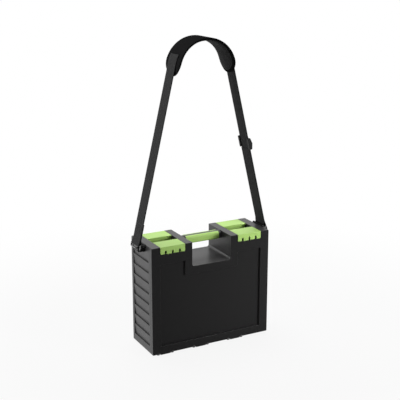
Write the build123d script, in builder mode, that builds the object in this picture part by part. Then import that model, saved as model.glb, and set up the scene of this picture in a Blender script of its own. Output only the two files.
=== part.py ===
from build123d import *
import math
import os

# Board game storage box, millimetres.
# +X is the case's right side, -Y its front, +Z up.
# The origin is under the middle of the case, on the surface that its hinge knuckles stand on.

# Case outside
case_width = 302.0
case_depth = 109.0
case_height = 255.0
wall = 5.0
corner_radius = 2.0
edge_radius = 1.0

# Hand notch, ribs and latch bays along the top
notch_width = 99.6
notch_depth = 56.5
notch_radius = 5.0
rib_width = 17.7
end_width = 21.5
bay_depth = 15.0

# Slats on the sides
slat_count = 9
slat_pitch = 25.0
slat_depth = 2.6
slat_front_margin = 7.2
slat_back_margin = 1.2
slat_top_gap = 12.5

# Covers
cover_depth = 9.0
cover_wall = 2.6
seam_gap = 0.4
panel_recess = 5.0
panel_radius = 2.0
panel_rim_radius = 0.8
panel_bottom_margin = 19.0
panel_top_margin = 40.5
panel_step = 34.5

# Bottom hinges, three sets to each cover
knuckle_radius = 2.9
hinge_count = 3
hinge_near_inset = 32.5
hinge_far_inset = 87.5
barrel_length = 26.0
barrel_chamfer = 1.0
ear_width = 4.5
ear_gap = 2.25
ear_clearance = 0.4
arm_overlap = 9.0
hinge_pin_radius = 1.2

# Latches
latch_side_gap = 0.6
latch_plate = 3.0
latch_front_radius = 2.0
flap_height = 17.0
flap_thickness = 2.6
flap_corner = 3.0
flap_ledge_gap = 0.8
finger_slot_width = 4.6
finger_slot_height = 7.4
finger_slot_corner = 0.6
finger_slot_pitch = 17.4
finger_slot_count = 3
well_width = 28.8
lip_inset = 1.0
lip_height = 9.0
lip_thickness = 2.2
lip_end_inset = 2.0
latch_pin_radius = 1.3
latch_barrel_radius = 3.2
latch_pin_inset = 6.1
latch_pin_drop = 7.5

# Handle
handle_height = 18.0
handle_depth = 22.0
handle_drop = 0.6
handle_end_gap = 0.2
core_thickness = 8.0
collar_length = 6.4
collar_inset = 1.0
grip_radius = 5.0
grip_end_gap = 0.3
grip_end_radius = 1.2
handle_screw_radius = 1.5
handle_screw_head_radius = 2.4
handle_screw_head = 2.2
handle_screw_length = 18.0
handle_screw_pitch = 6.4
handle_screw_drop = 1.6

# Divider between the two compartments
divider_thickness = 3.0

# Strap anchors on the sides
stud_radius = 2.5
stud_head_radius = 4.5
stud_head = 2.2
stud_drop = 9.0
nut_radius = 4.2
nut_height = 2.6
lug_plate = 3.0
lug_radius = 7.5
lug_neck = 13.0
eye_width = 13.5
eye_radius = 4.0
eye_height = 12.5
lug_bar_front = 26.0
lug_bar_back = 19.0
lug_bar_height = 9.0
lug_bar_rise = 2.5
lug_bar_radius = 2.0
ring_wire_radius = 1.8
ring_width = 48.0
ring_height = 10.0
ring_corner = 3.2
ring_drop = 11.0
ring_side = 14.0

# Strap
webbing_width = 38.0
webbing_thickness = 1.5
turn_gap = 0.3
turn_taper = 14.0
stitched_length = 34.0
wrap_angle = 30.0

# Shoulder pad, thin at its crown and thicker towards its ends
pad_outer_radius = 71.2
pad_centre_height = 632.5
pad_leg_drop = 11.0
pad_width = 70.0
pad_crown_thickness = 6.5
pad_leg_thickness = 8.5
pad_end_radius = 34.0
lining_thickness = 1.5
lining_margin = 5.0
lining_end_margin = 5.0

# Slider on the right webbing
slider_place = 208.0
slider_length = 27.0
slider_rail = 3.0
slider_side_gap = 0.6
slider_bar_thickness = 2.2
slider_bar_width = 4.5
slider_middle_radius = 1.5
slider_arch_radius = 2.3
slider_lip = 1.2
slider_lip_reach = 2.5
slider_corner = 1.0

# Clearances
running_fit = 0.05
seat_gap = 0.3

# Places that follow from the sizes
base_z = knuckle_radius
top_z = base_z + case_height
half_width = case_width / 2
half_depth = case_depth / 2
frame_half_depth = half_depth - cover_depth
notch_half = notch_width / 2
notch_z = top_z - notch_depth
bay_inner = notch_half + rib_width
bay_outer = half_width - end_width
bay_width = bay_outer - bay_inner
bay_middle = (bay_inner + bay_outer) / 2
bay_floor_z = top_z - bay_depth
flap_bottom_z = top_z - flap_height
ledge_z = flap_bottom_z - flap_ledge_gap
cover_front = panel_recess + cover_wall
hinge_y = half_depth - knuckle_radius
hinge_z = base_z
hinge_pitch = (case_width - hinge_near_inset - hinge_far_inset) / (hinge_count - 1)
hinge_places = [hinge_near_inset - half_width + i * hinge_pitch for i in range(hinge_count)]
ear_offset = barrel_length / 2 + ear_gap + ear_width / 2
hinge_pin_length = barrel_length + 2 * ear_gap + 2 * ear_width
well_half = well_width / 2
latch_pin_y = well_half + latch_pin_inset
latch_pin_z = top_z - latch_pin_drop
handle_top_z = top_z - handle_drop
handle_middle_z = handle_top_z - handle_height / 2
handle_screw_z = [
    handle_middle_z - handle_screw_drop + end * handle_screw_pitch / 2 for end in (-1, 1)
]
grip_half_length = notch_half - handle_end_gap - collar_length - grip_end_gap
stud_z = top_z - stud_drop
lug_inner_x = half_width + seat_gap
lug_outer_x = lug_inner_x + lug_plate
ring_low = (half_width + ring_side, top_z - ring_drop)
eye_front = ring_width / 2 - ring_corner - seat_gap
pad_centre_z = base_z + pad_centre_height
pad_inner_radius = pad_outer_radius - pad_leg_thickness
pad_inner_z = pad_centre_z + pad_leg_thickness - pad_crown_thickness
wrap_radius = pad_outer_radius + seat_gap


def tangent_lean(x, z):
    """Lean from upright, in radians, of the line from (x, z) that runs tangent to the pad's wrap."""
    rise = pad_centre_z - z
    return math.atan2(x, rise) - math.asin(wrap_radius / math.hypot(x, rise))


ring_lean = tangent_lean(*ring_low)
turn_x = ring_low[0] - ring_height * math.sin(ring_lean)
turn_z = ring_low[1] + ring_height * math.cos(ring_lean)
lean = tangent_lean(turn_x, turn_z)
run_length = math.sqrt(math.hypot(turn_x, pad_centre_z - turn_z) ** 2 - wrap_radius**2)
turn_inner = ring_wire_radius + turn_gap
turn_outer = turn_inner + webbing_thickness

# Local plane of the right strap: x outwards, y up along the webbing, z towards the front
strap_plane = Plane(
    origin=(turn_x, 0, turn_z),
    x_dir=(math.cos(lean), 0, math.sin(lean)),
    z_dir=(0, -1, 0),
)

os.makedirs("parts", exist_ok=True)


def save(builder, name):
    """Labels a finished piece and writes its STEP file."""
    builder.part.label = name
    export_step(builder.part, f"parts/{name}.step")


def case_outline(bay_z):
    """Front outline of the case, with the hand notch and with latch bays down to bay_z."""
    right = [
        (half_width, base_z),
        (half_width, top_z),
        (bay_outer, top_z),
        (bay_outer, bay_z),
        (bay_inner, bay_z),
        (bay_inner, top_z),
        (notch_half, top_z),
        (notch_half, notch_z),
    ]
    left = [(-x, z) for x, z in reversed(right)]
    with BuildSketch() as outline:
        with BuildLine():
            Polyline(*right, *left, close=True)
        make_face()
        columns = outline.vertices().group_by(Axis.X)
        fillet(columns[0] + columns[-1], radius=corner_radius)
        fillet(outline.vertices().sort_by_distance((0, notch_z))[:2], radius=notch_radius)
    return outline.sketch


def panel_outline():
    """Outline of the recessed field on a cover: full width below, with a raised part on each side."""
    low = base_z + panel_bottom_margin
    high = top_z - panel_top_margin
    right = [(bay_outer, low), (bay_outer, high), (bay_inner, high), (bay_inner, high - panel_step)]
    left = [(-x, z) for x, z in reversed(right)]
    with BuildSketch() as outline:
        with BuildLine():
            Polyline(*right, *left, close=True)
        make_face()
        fillet(outline.vertices(), radius=panel_radius)
    return outline.sketch


# Case frame
with BuildPart() as case_frame:
    with BuildSketch(Plane.XZ):
        add(case_outline(bay_floor_z))
        offset(amount=-wall, kind=Kind.INTERSECTION, mode=Mode.SUBTRACT)
    extrude(amount=frame_half_depth, both=True)
    # Slats
    with BuildSketch(Plane.XZ.offset(frame_half_depth - slat_front_margin)):
        for side in (-1, 1):
            for i in range(slat_count):
                with Locations((side * half_width, top_z - slat_top_gap - i * slat_pitch)):
                    Polygon((0, 0), (0, -slat_pitch), (-side * slat_depth, -slat_pitch), align=None)
    extrude(
        amount=slat_front_margin + slat_back_margin - 2 * frame_half_depth,
        mode=Mode.SUBTRACT,
    )
    # Hinge arms and ears under the front and back edges
    for side in (-1, 1):
        for place in hinge_places:
            for end in (-1, 1):
                x = -side * place + end * ear_offset
                arm_length = hinge_y - frame_half_depth + arm_overlap
                with Locations((x, side * (hinge_y - arm_length / 2), base_z / 2)):
                    Box(ear_width, arm_length, base_z)
                with Locations((x, side * hinge_y, hinge_z)):
                    Cylinder(knuckle_radius, ear_width, rotation=(0, 90, 0))
                    Cylinder(
                        hinge_pin_radius + running_fit,
                        ear_width,
                        rotation=(0, 90, 0),
                        mode=Mode.SUBTRACT,
                    )
    # Bores for the latch pins, the strap studs and the handle screws
    latch_pin_places = [
        (x, y, latch_pin_z) for x in (-bay_middle, bay_middle) for y in (-latch_pin_y, latch_pin_y)
    ]
    with Locations(*latch_pin_places):
        Cylinder(
            latch_pin_radius + running_fit,
            bay_width + 2 * wall,
            rotation=(0, 90, 0),
            mode=Mode.SUBTRACT,
        )
    with Locations(*[(side * (half_width - wall / 2), 0, stud_z) for side in (-1, 1)]):
        Cylinder(stud_radius + running_fit, wall, rotation=(0, 90, 0), mode=Mode.SUBTRACT)
    with Locations(
        *[
            (x, 0, z)
            for x in (-notch_half - wall / 2, notch_half + wall / 2)
            for z in handle_screw_z
        ]
    ):
        Cylinder(handle_screw_radius + running_fit, wall, rotation=(0, 90, 0), mode=Mode.SUBTRACT)
save(case_frame, "case_frame")

# Divider: a plate that stands in the frame, below the latch bays and round the notch
with BuildPart() as centre_divider:
    side_x = half_width - wall - seat_gap
    neck_x = notch_half + wall + seat_gap
    high = bay_floor_z - wall - seat_gap
    neck_z = notch_z - wall - seat_gap
    right = [(side_x, base_z + wall + seat_gap), (side_x, high), (neck_x, high), (neck_x, neck_z)]
    with BuildSketch(Plane.XZ) as divider_sketch:
        with BuildLine():
            Polyline(*right, *[(-x, z) for x, z in reversed(right)], close=True)
        make_face()
        fillet(divider_sketch.vertices(), radius=corner_radius)
    extrude(amount=divider_thickness / 2, both=True)
save(centre_divider, "centre_divider")

# Front cover: a shallow shell with a recessed field, and the hinge barrels on its lower edge
with BuildPart() as front_cover:
    with BuildSketch(Plane.XZ.offset(frame_half_depth + seam_gap)):
        add(case_outline(ledge_z))
    extrude(amount=cover_depth - seam_gap)
    fillet(front_cover.faces().sort_by(Axis.Y)[0].edges(), radius=edge_radius)
    with BuildSketch(Plane.XZ.offset(frame_half_depth + seam_gap)):
        add(case_outline(ledge_z))
        offset(amount=-cover_wall, kind=Kind.INTERSECTION, mode=Mode.REPLACE)
    extrude(amount=cover_depth - seam_gap - cover_front, mode=Mode.SUBTRACT)
    with BuildSketch(Plane.XZ.offset(half_depth)):
        add(panel_outline())
    extrude(amount=-panel_recess, mode=Mode.SUBTRACT)
    fillet(front_cover.faces().sort_by(Axis.Y)[0].inner_wires()[0].edges(), radius=panel_rim_radius)
    # Hinge barrels
    for place in hinge_places:
        with BuildSketch(Plane.XY.offset(hinge_z)) as barrel_sketch:
            with Locations((place, -hinge_y + knuckle_radius / 2)):
                Rectangle(barrel_length, knuckle_radius)
            chamfer(barrel_sketch.vertices().group_by(Axis.Y)[-1], length=barrel_chamfer)
        revolve(axis=Axis((place, -hinge_y, hinge_z), (1, 0, 0)))
        with Locations((place, -hinge_y, hinge_z)):
            Cylinder(
                hinge_pin_radius + running_fit,
                hinge_pin_length + 2 * ear_clearance,
                rotation=(0, 90, 0),
                mode=Mode.SUBTRACT,
            )
        # Room for the frame's ears
        with Locations(*[(place + end * ear_offset, -hinge_y, hinge_z) for end in (-1, 1)]):
            Cylinder(
                knuckle_radius + ear_clearance,
                ear_width + 2 * ear_clearance,
                rotation=(0, 90, 0),
                mode=Mode.SUBTRACT,
            )
save(front_cover, "front_cover")

# Back cover: the same moulding, turned round
with BuildPart() as back_cover:
    add(front_cover.part, rotation=(0, 0, 180))
save(back_cover, "back_cover")

# Hinge pins
for name, side in (("front_hinge_pins", -1), ("back_hinge_pins", 1)):
    with BuildPart() as hinge_pins:
        with Locations(*[(-side * place, side * hinge_y, hinge_z) for place in hinge_places]):
            Cylinder(hinge_pin_radius, hinge_pin_length, rotation=(0, 90, 0))
    save(hinge_pins, name)


def make_latch(middle_x):
    """One front latch: top plate, fingered front flap, inner lip and pin barrel."""
    length = bay_width - 2 * latch_side_gap
    under = top_z - latch_plate
    lip_y = -well_half - lip_inset
    with BuildPart() as latch:
        with BuildSketch(Plane.YZ.offset(middle_x)) as section:
            with BuildLine():
                Polyline(
                    (-half_depth, top_z),
                    (-well_half, top_z),
                    (-well_half, under),
                    (-half_depth + flap_thickness, under),
                    (-half_depth + flap_thickness, flap_bottom_z),
                    (-half_depth, flap_bottom_z),
                    close=True,
                )
            make_face()
            front_top = section.vertices().sort_by_distance((-half_depth, top_z))[0]
            fillet(front_top, radius=latch_front_radius)
        extrude(amount=length / 2, both=True)
        lower = latch.edges().filter_by(Axis.Y).group_by(Axis.Z)[0].sort_by(Axis.X)
        fillet((lower[0], lower[-1]), radius=flap_corner)
        # Inner lip and pin barrel
        with BuildSketch(Plane.YZ.offset(middle_x)):
            with Locations((lip_y - lip_thickness / 2, under - lip_height / 2)):
                Rectangle(lip_thickness, lip_height)
        extrude(amount=length / 2 - lip_end_inset, both=True)
        with BuildSketch(Plane.YZ.offset(middle_x)):
            with Locations((-latch_pin_y, (under + latch_pin_z) / 2)):
                Rectangle(2 * latch_barrel_radius, under - latch_pin_z)
            with Locations((-latch_pin_y, latch_pin_z)):
                Circle(latch_barrel_radius)
        extrude(amount=length / 2, both=True)
        with Locations((middle_x, -latch_pin_y, latch_pin_z)):
            Cylinder(latch_pin_radius + running_fit, bay_width, rotation=(0, 90, 0), mode=Mode.SUBTRACT)
        # Slots that part the flap into fingers
        with BuildSketch(Plane.XZ.offset(half_depth)):
            with Locations((middle_x, flap_bottom_z)):
                with GridLocations(finger_slot_pitch, 1, finger_slot_count, 1):
                    RectangleRounded(finger_slot_width, 2 * finger_slot_height, finger_slot_corner)
        extrude(amount=-flap_thickness, mode=Mode.SUBTRACT)
    return latch


# Latches and their pins
for side_name, side_x in (("left", -bay_middle), ("right", bay_middle)):
    front_latch = make_latch(side_x)
    save(front_latch, f"latch_front_{side_name}")
    with BuildPart() as back_latch:
        mirror(front_latch.part, about=Plane.XZ, mode=Mode.ADD)
    save(back_latch, f"latch_back_{side_name}")
for end_name, side_y in (("front", -1), ("back", 1)):
    with BuildPart() as latch_pins:
        with Locations(*[(x, side_y * latch_pin_y, latch_pin_z) for x in (-bay_middle, bay_middle)]):
            Cylinder(latch_pin_radius, bay_width + 2 * wall, rotation=(0, 90, 0))
    save(latch_pins, f"latch_pins_{end_name}")

# Handle core: a flat web with a collar at each end
with BuildPart() as handle_core:
    core_half = notch_half - handle_end_gap
    with Locations((0, 0, handle_middle_z)):
        Box(2 * core_half, core_thickness, handle_height)
    for side in (-1, 1):
        with BuildSketch(Plane.YZ.offset(side * core_half)):
            with Locations((0, handle_middle_z)):
                RectangleRounded(
                    handle_depth - 2 * collar_inset,
                    handle_height - 2 * collar_inset,
                    grip_radius - collar_inset,
                )
        extrude(amount=-side * collar_length)
    with Locations(
        *[
            (side * (notch_half + wall - handle_screw_length / 2), 0, z)
            for side in (-1, 1)
            for z in handle_screw_z
        ]
    ):
        Cylinder(
            handle_screw_radius + running_fit,
            handle_screw_length,
            rotation=(0, 90, 0),
            mode=Mode.SUBTRACT,
        )
save(handle_core, "handle_core")

# Grips on the front and back of the core
for name, side in (("handle_grip_front", -1), ("handle_grip_back", 1)):
    with BuildPart() as grip:
        grip_depth = (handle_depth - core_thickness) / 2
        with BuildSketch(Plane.YZ) as grip_section:
            with Locations((side * (core_thickness + grip_depth) / 2, handle_middle_z)):
                Rectangle(grip_depth, handle_height)
            fillet(grip_section.vertices().sort_by(lambda v: abs(v.X))[2:], radius=grip_radius)
        extrude(amount=grip_half_length, both=True)
        end_edges = grip.faces().filter_by(Axis.X).edges().sort_by(lambda e: abs(e.center().Y))
        fillet(end_edges[2:], radius=grip_end_radius)
    save(grip, name)

# Handle screws, two through each rib into the core
with BuildPart() as handle_screws:
    for side in (-1, 1):
        seat_x = side * (notch_half + wall)
        for z in handle_screw_z:
            with Locations((seat_x - side * handle_screw_length / 2, 0, z)):
                Cylinder(handle_screw_radius, handle_screw_length, rotation=(0, 90, 0))
            with Locations((seat_x + side * handle_screw_head / 2, 0, z)):
                Cylinder(handle_screw_head_radius, handle_screw_head, rotation=(0, 90, 0))
save(handle_screws, "handle_screws")

# Strap studs and their nuts
with BuildPart() as strap_studs:
    for side in (-1, 1):
        inner = half_width - wall - nut_height
        outer_x = lug_outer_x + seat_gap
        with Locations((side * (inner + outer_x) / 2, 0, stud_z)):
            Cylinder(stud_radius, outer_x - inner, rotation=(0, 90, 0))
        with Locations((side * (outer_x + stud_head / 2), 0, stud_z)):
            Cylinder(stud_head_radius, stud_head, rotation=(0, 90, 0))
save(strap_studs, "strap_studs")
with BuildPart() as strap_nuts:
    for side in (-1, 1):
        with BuildSketch(Plane.YZ.offset(side * (half_width - wall))):
            with Locations((0, stud_z)):
                RegularPolygon(nut_radius, 6)
                Circle(stud_radius + running_fit, mode=Mode.SUBTRACT)
        extrude(amount=-side * nut_height)
save(strap_nuts, "strap_nuts")


def make_lug():
    """Right strap lug: a plate that turns on the stud, a bar along its top, and an eye for the ring."""
    low_x, low_z = ring_low
    eye_back = -eye_front + eye_width
    eye_middle = (-eye_front + eye_back) / 2
    with BuildPart() as lug:
        with BuildSketch(Plane.YZ.offset(lug_inner_x)):
            with Locations((0, stud_z)):
                Circle(lug_radius)
            with Locations((eye_middle / 2, stud_z)):
                Rectangle(-eye_middle, lug_neck)
            with Locations((eye_middle, low_z)):
                RectangleRounded(eye_width, eye_height, eye_radius)
            bar_middle = (lug_bar_back - lug_bar_front) / 2
            with Locations((bar_middle, top_z + lug_bar_rise - lug_bar_height / 2)):
                RectangleRounded(lug_bar_back + lug_bar_front, lug_bar_height, lug_bar_radius)
        extrude(amount=lug_plate)
        with BuildSketch(Plane.XZ.offset(-eye_back)):
            with Locations(((lug_inner_x + low_x) / 2, low_z)):
                Rectangle(low_x - lug_inner_x, 2 * eye_radius)
            with Locations((low_x, low_z)):
                Circle(eye_radius)
        extrude(amount=eye_width)
        with Locations((lug_inner_x + lug_plate / 2, 0, stud_z)):
            Cylinder(stud_radius + running_fit, 2 * lug_plate, rotation=(0, 90, 0), mode=Mode.SUBTRACT)
        with Locations((low_x, eye_middle, low_z)):
            Cylinder(
                ring_wire_radius + running_fit,
                2 * eye_width,
                rotation=(90, 0, 0),
                mode=Mode.SUBTRACT,
            )
    return lug


def make_ring():
    """Right strap ring: a bent wire in the strap's plane, its low bar in the lug's eye."""
    low_x, low_z = ring_low
    half_ring_width = ring_width / 2
    corners = [
        (low_x, -half_ring_width, low_z),
        (low_x, half_ring_width, low_z),
        (turn_x, half_ring_width, turn_z),
        (turn_x, -half_ring_width, turn_z),
    ]
    with BuildPart() as ring:
        with BuildLine() as wire:
            FilletPolyline(*corners, radius=ring_corner, close=True)
        with BuildSketch(Plane(origin=wire.line @ 0, z_dir=wire.line % 0)):
            Circle(ring_wire_radius)
        sweep()
    return ring


def strap_run(top_length, inner_layer_top):
    """Section of a strap's webbing in its local plane: the turn round the ring, and the run above it."""
    with BuildSketch() as section:
        with BuildLine():
            CenterArc((0, 0), turn_outer, 0, 360)
            Line((-webbing_thickness, turn_taper), (webbing_thickness, turn_taper))
        make_hull()
        with Locations((0, (turn_taper + inner_layer_top) / 2)):
            Rectangle(2 * webbing_thickness, inner_layer_top - turn_taper)
        with Locations((webbing_thickness / 2, (inner_layer_top + top_length) / 2)):
            Rectangle(webbing_thickness, top_length - inner_layer_top)
        with BuildSketch(mode=Mode.SUBTRACT):
            with BuildLine():
                CenterArc((0, 0), turn_inner, 0, 360)
                Line((0, 0), (0, turn_taper - webbing_thickness))
            make_hull()
    return section.sketch


def make_webbing(inner_layer_top):
    """Right webbing, from its turn round the ring to where it lies over the pad."""
    with BuildPart() as webbing:
        with BuildSketch(strap_plane):
            add(strap_run(run_length, inner_layer_top))
        extrude(amount=webbing_width / 2, both=True)
        # The end that lies over the pad's outer face
        with BuildSketch(Plane.XZ):
            with BuildLine():
                start = math.degrees(lean)
                sweep_angle = wrap_angle - start
                near = CenterArc((0, pad_centre_z), wrap_radius, start, sweep_angle)
                far = CenterArc((0, pad_centre_z), wrap_radius + webbing_thickness, start, sweep_angle)
                Line(near @ 0, far @ 0)
                Line(near @ 1, far @ 1)
            make_face()
        extrude(amount=webbing_width / 2, both=True)
    return webbing


# Strap hardware and webbing, right side as made and left side mirrored
stitched_top = turn_taper + stitched_length
return_top = slider_place - slider_length / 2 - seat_gap
for kind, right_piece, left_piece in (
    ("strap_lug", make_lug(), None),
    ("strap_ring", make_ring(), None),
    ("webbing", make_webbing(return_top), make_webbing(stitched_top)),
):
    save(right_piece, f"{kind}_right")
    with BuildPart() as mirrored:
        mirror((left_piece or right_piece).part, about=Plane.YZ, mode=Mode.ADD)
    save(mirrored, f"{kind}_left")


def arch(outer_radius, outer_z, inner_radius, inner_z, width, end_z, end_radius):
    """An arch between two circles, open below, its two ends at end_z with rounded corners."""
    with BuildPart() as band:
        with BuildSketch(Plane.XZ):
            with Locations((0, outer_z)):
                Circle(outer_radius)
            with Locations((0, inner_z)):
                Circle(inner_radius, mode=Mode.SUBTRACT)
        extrude(amount=width / 2, both=True)
        with BuildSketch(Plane.YZ) as side_view:
            with Locations((0, end_z)):
                Rectangle(width, 2 * outer_radius, align=(Align.CENTER, Align.MIN))
            fillet(side_view.vertices().group_by(Axis.Y)[0], radius=end_radius)
        extrude(amount=2 * outer_radius, both=True, mode=Mode.INTERSECT)
    return band


# Shoulder pad, and the lining on its inner face
pad_low_z = pad_centre_z - pad_leg_drop
lining_radius = pad_inner_radius - seat_gap
shoulder_pad = arch(
    pad_outer_radius,
    pad_centre_z,
    pad_inner_radius,
    pad_inner_z,
    pad_width,
    pad_low_z,
    pad_end_radius,
)
save(shoulder_pad, "shoulder_pad")
pad_lining = arch(
    lining_radius,
    pad_inner_z,
    lining_radius - lining_thickness,
    pad_inner_z,
    pad_width - 2 * lining_margin,
    pad_low_z + lining_end_margin,
    pad_end_radius - lining_margin,
)
save(pad_lining, "pad_lining")

# Slider: crossbars and a middle bar outside the webbing, and along each edge an arched rail with a lip
slider_half_width = webbing_width / 2 + slider_side_gap
middle_bar_rise = 2 * webbing_thickness + seat_gap + slider_middle_radius + running_fit
rail_low = -webbing_thickness - seat_gap - slider_lip
rail_high = webbing_thickness + seat_gap + slider_bar_thickness
with BuildPart() as slider_frame:
    with BuildSketch(strap_plane):
        for end in (-1, 1):
            bar_place = slider_place + end * (slider_length - slider_bar_width) / 2
            with Locations((rail_high - slider_bar_thickness / 2, bar_place)):
                RectangleRounded(slider_bar_thickness, slider_bar_width, slider_corner)
        with Locations((middle_bar_rise, slider_place)):
            Circle(slider_middle_radius)
    extrude(amount=slider_half_width, both=True)
    for side in (-1, 1):
        with BuildSketch(strap_plane.offset(side * slider_half_width)) as rail:
            with BuildLine():
                CenterArc((middle_bar_rise, slider_place), slider_arch_radius, 0, 360)
                for end in (-1, 1):
                    end_place = slider_place + end * slider_length / 2
                    Line((rail_low, end_place), (rail_high, end_place))
            make_hull()
            ends = rail.vertices().sort_by(Axis.Y)
            fillet(ends[:2] + ends[-2:], radius=slider_corner)
        extrude(amount=side * slider_rail)
        with BuildSketch(strap_plane.offset(side * slider_half_width)):
            with Locations((rail_low + slider_lip / 2, slider_place)):
                Rectangle(slider_lip, slider_length - 2 * slider_corner)
        extrude(amount=-side * slider_lip_reach)
save(slider_frame, "slider_frame")

# Turn of the webbing's end, sewn round the slider's middle bar
with BuildPart() as slider_turn:
    with BuildSketch(strap_plane):
        with Locations((middle_bar_rise, slider_place)):
            Circle(slider_middle_radius + running_fit + webbing_thickness)
            Circle(slider_middle_radius + running_fit, mode=Mode.SUBTRACT)
    extrude(amount=webbing_width / 2, both=True)
save(slider_turn, "slider_turn")

print(f"webbing run {run_length:.1f} mm from x {turn_x:.2f}, z {turn_z:.2f}")
print(f"webbing lean {math.degrees(lean):.2f} degrees")
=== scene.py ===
"""Board game storage box: finishes, soft strap and pad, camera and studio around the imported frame."""

import logging
import math
from dataclasses import dataclass, field
from enum import Enum

import bmesh
import bpy
from mathutils import Matrix, Vector


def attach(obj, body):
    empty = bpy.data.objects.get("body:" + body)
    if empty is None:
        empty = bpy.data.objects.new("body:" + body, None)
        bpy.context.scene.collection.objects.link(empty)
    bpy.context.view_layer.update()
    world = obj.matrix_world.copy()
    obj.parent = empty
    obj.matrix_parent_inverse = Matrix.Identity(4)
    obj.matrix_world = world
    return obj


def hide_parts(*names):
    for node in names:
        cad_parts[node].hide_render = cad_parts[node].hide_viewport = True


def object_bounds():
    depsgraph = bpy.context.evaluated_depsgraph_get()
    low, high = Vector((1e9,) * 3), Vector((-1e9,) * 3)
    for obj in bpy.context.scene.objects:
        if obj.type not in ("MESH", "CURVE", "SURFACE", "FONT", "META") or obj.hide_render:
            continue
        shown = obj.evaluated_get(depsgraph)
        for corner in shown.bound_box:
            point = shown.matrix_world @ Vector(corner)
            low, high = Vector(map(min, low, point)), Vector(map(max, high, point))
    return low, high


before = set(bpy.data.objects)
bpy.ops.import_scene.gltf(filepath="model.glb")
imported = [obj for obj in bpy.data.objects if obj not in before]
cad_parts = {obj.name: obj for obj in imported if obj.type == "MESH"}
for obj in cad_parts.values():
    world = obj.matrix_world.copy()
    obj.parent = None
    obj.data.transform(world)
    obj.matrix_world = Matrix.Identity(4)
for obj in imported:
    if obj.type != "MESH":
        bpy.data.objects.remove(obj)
cad_low, cad_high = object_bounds()

logging.basicConfig(level=logging.INFO, format="%(message)s")
log = logging.getLogger("storage_box")

MM = 0.001
UV_MAP = "UVMap"
WEBBING_WIDTH = 38.0 * MM
WEBBING_THICKNESS = 1.5 * MM
PAD_CENTRE_Z = 635.4 * MM

Colour = tuple[float, float, float]
Point2 = tuple[float, float]
Point3 = tuple[float, float, float]
Profile = list[Point2]


def srgb(red: int, green: int, blue: int) -> Colour:
    """Linear colour of an 8-bit sRGB colour, by the curve of the sRGB standard.

    Args:
        red: Red, 0 to 255.
        green: Green, 0 to 255.
        blue: Blue, 0 to 255.

    Returns:
        The colour's linear red, green and blue.
    """
    values = []
    for channel in (red, green, blue):
        share = channel / 255
        values.append(share / 12.92 if share <= 0.04045 else ((share + 0.055) / 1.055) ** 2.4)
    return (values[0], values[1], values[2])


def grey(value: float) -> Colour:
    """The neutral grey of one linear value."""
    return (value, value, value)


def shaded(colour: Colour, factor: float) -> Colour:
    """A colour made darker, or lighter where the factor is over 1."""
    return (colour[0] * factor, colour[1] * factor, colour[2] * factor)


def opaque(colour: Colour) -> tuple[float, float, float, float]:
    """A colour with full alpha, as a colour socket takes it."""
    return (*colour, 1.0)


def add_object(name: str, data: bpy.types.ID) -> bpy.types.Object:
    """Puts a mesh, lamp or camera in the scene, at the origin.

    Args:
        name: The object's name.
        data: What it shows.

    Returns:
        The object.
    """
    added = bpy.data.objects.new(name, data)
    bpy.context.scene.collection.objects.link(added)
    return added


def stand(thing: bpy.types.Object, place: Point3, facing: Vector) -> None:
    """Stands a lamp or the camera at its place and turns it.

    Args:
        thing: The lamp or camera.
        place: Where it stands.
        facing: The direction that it looks in.
    """
    thing.location = place
    thing.rotation_mode = "QUATERNION"
    thing.rotation_quaternion = facing.to_track_quat("-Z", "Y")


def smooth(piece: bpy.types.Object, sharp_angle: float) -> None:
    """Shades a piece smooth, apart from its sharp edges.

    Args:
        piece: The piece.
        sharp_angle: Edges that turn more than this, in degrees, stay sharp.
    """
    bpy.ops.object.select_all(action="DESELECT")
    piece.select_set(True)
    bpy.context.view_layer.objects.active = piece
    bpy.ops.object.shade_smooth_by_angle(angle=math.radians(sharp_angle))


class Side(Enum):
    """The two sides of the case."""

    LEFT = -1
    RIGHT = 1

    @property
    def word(self) -> str:
        """The side's name as the nodes spell it."""
        return self.name.lower()


class Group(Enum):
    """Shader node groups that the finishes share."""

    GRAIN = "moulded grain"
    EDGE = "edge wear and highlight"
    WEAVE = "woven tape"


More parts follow.
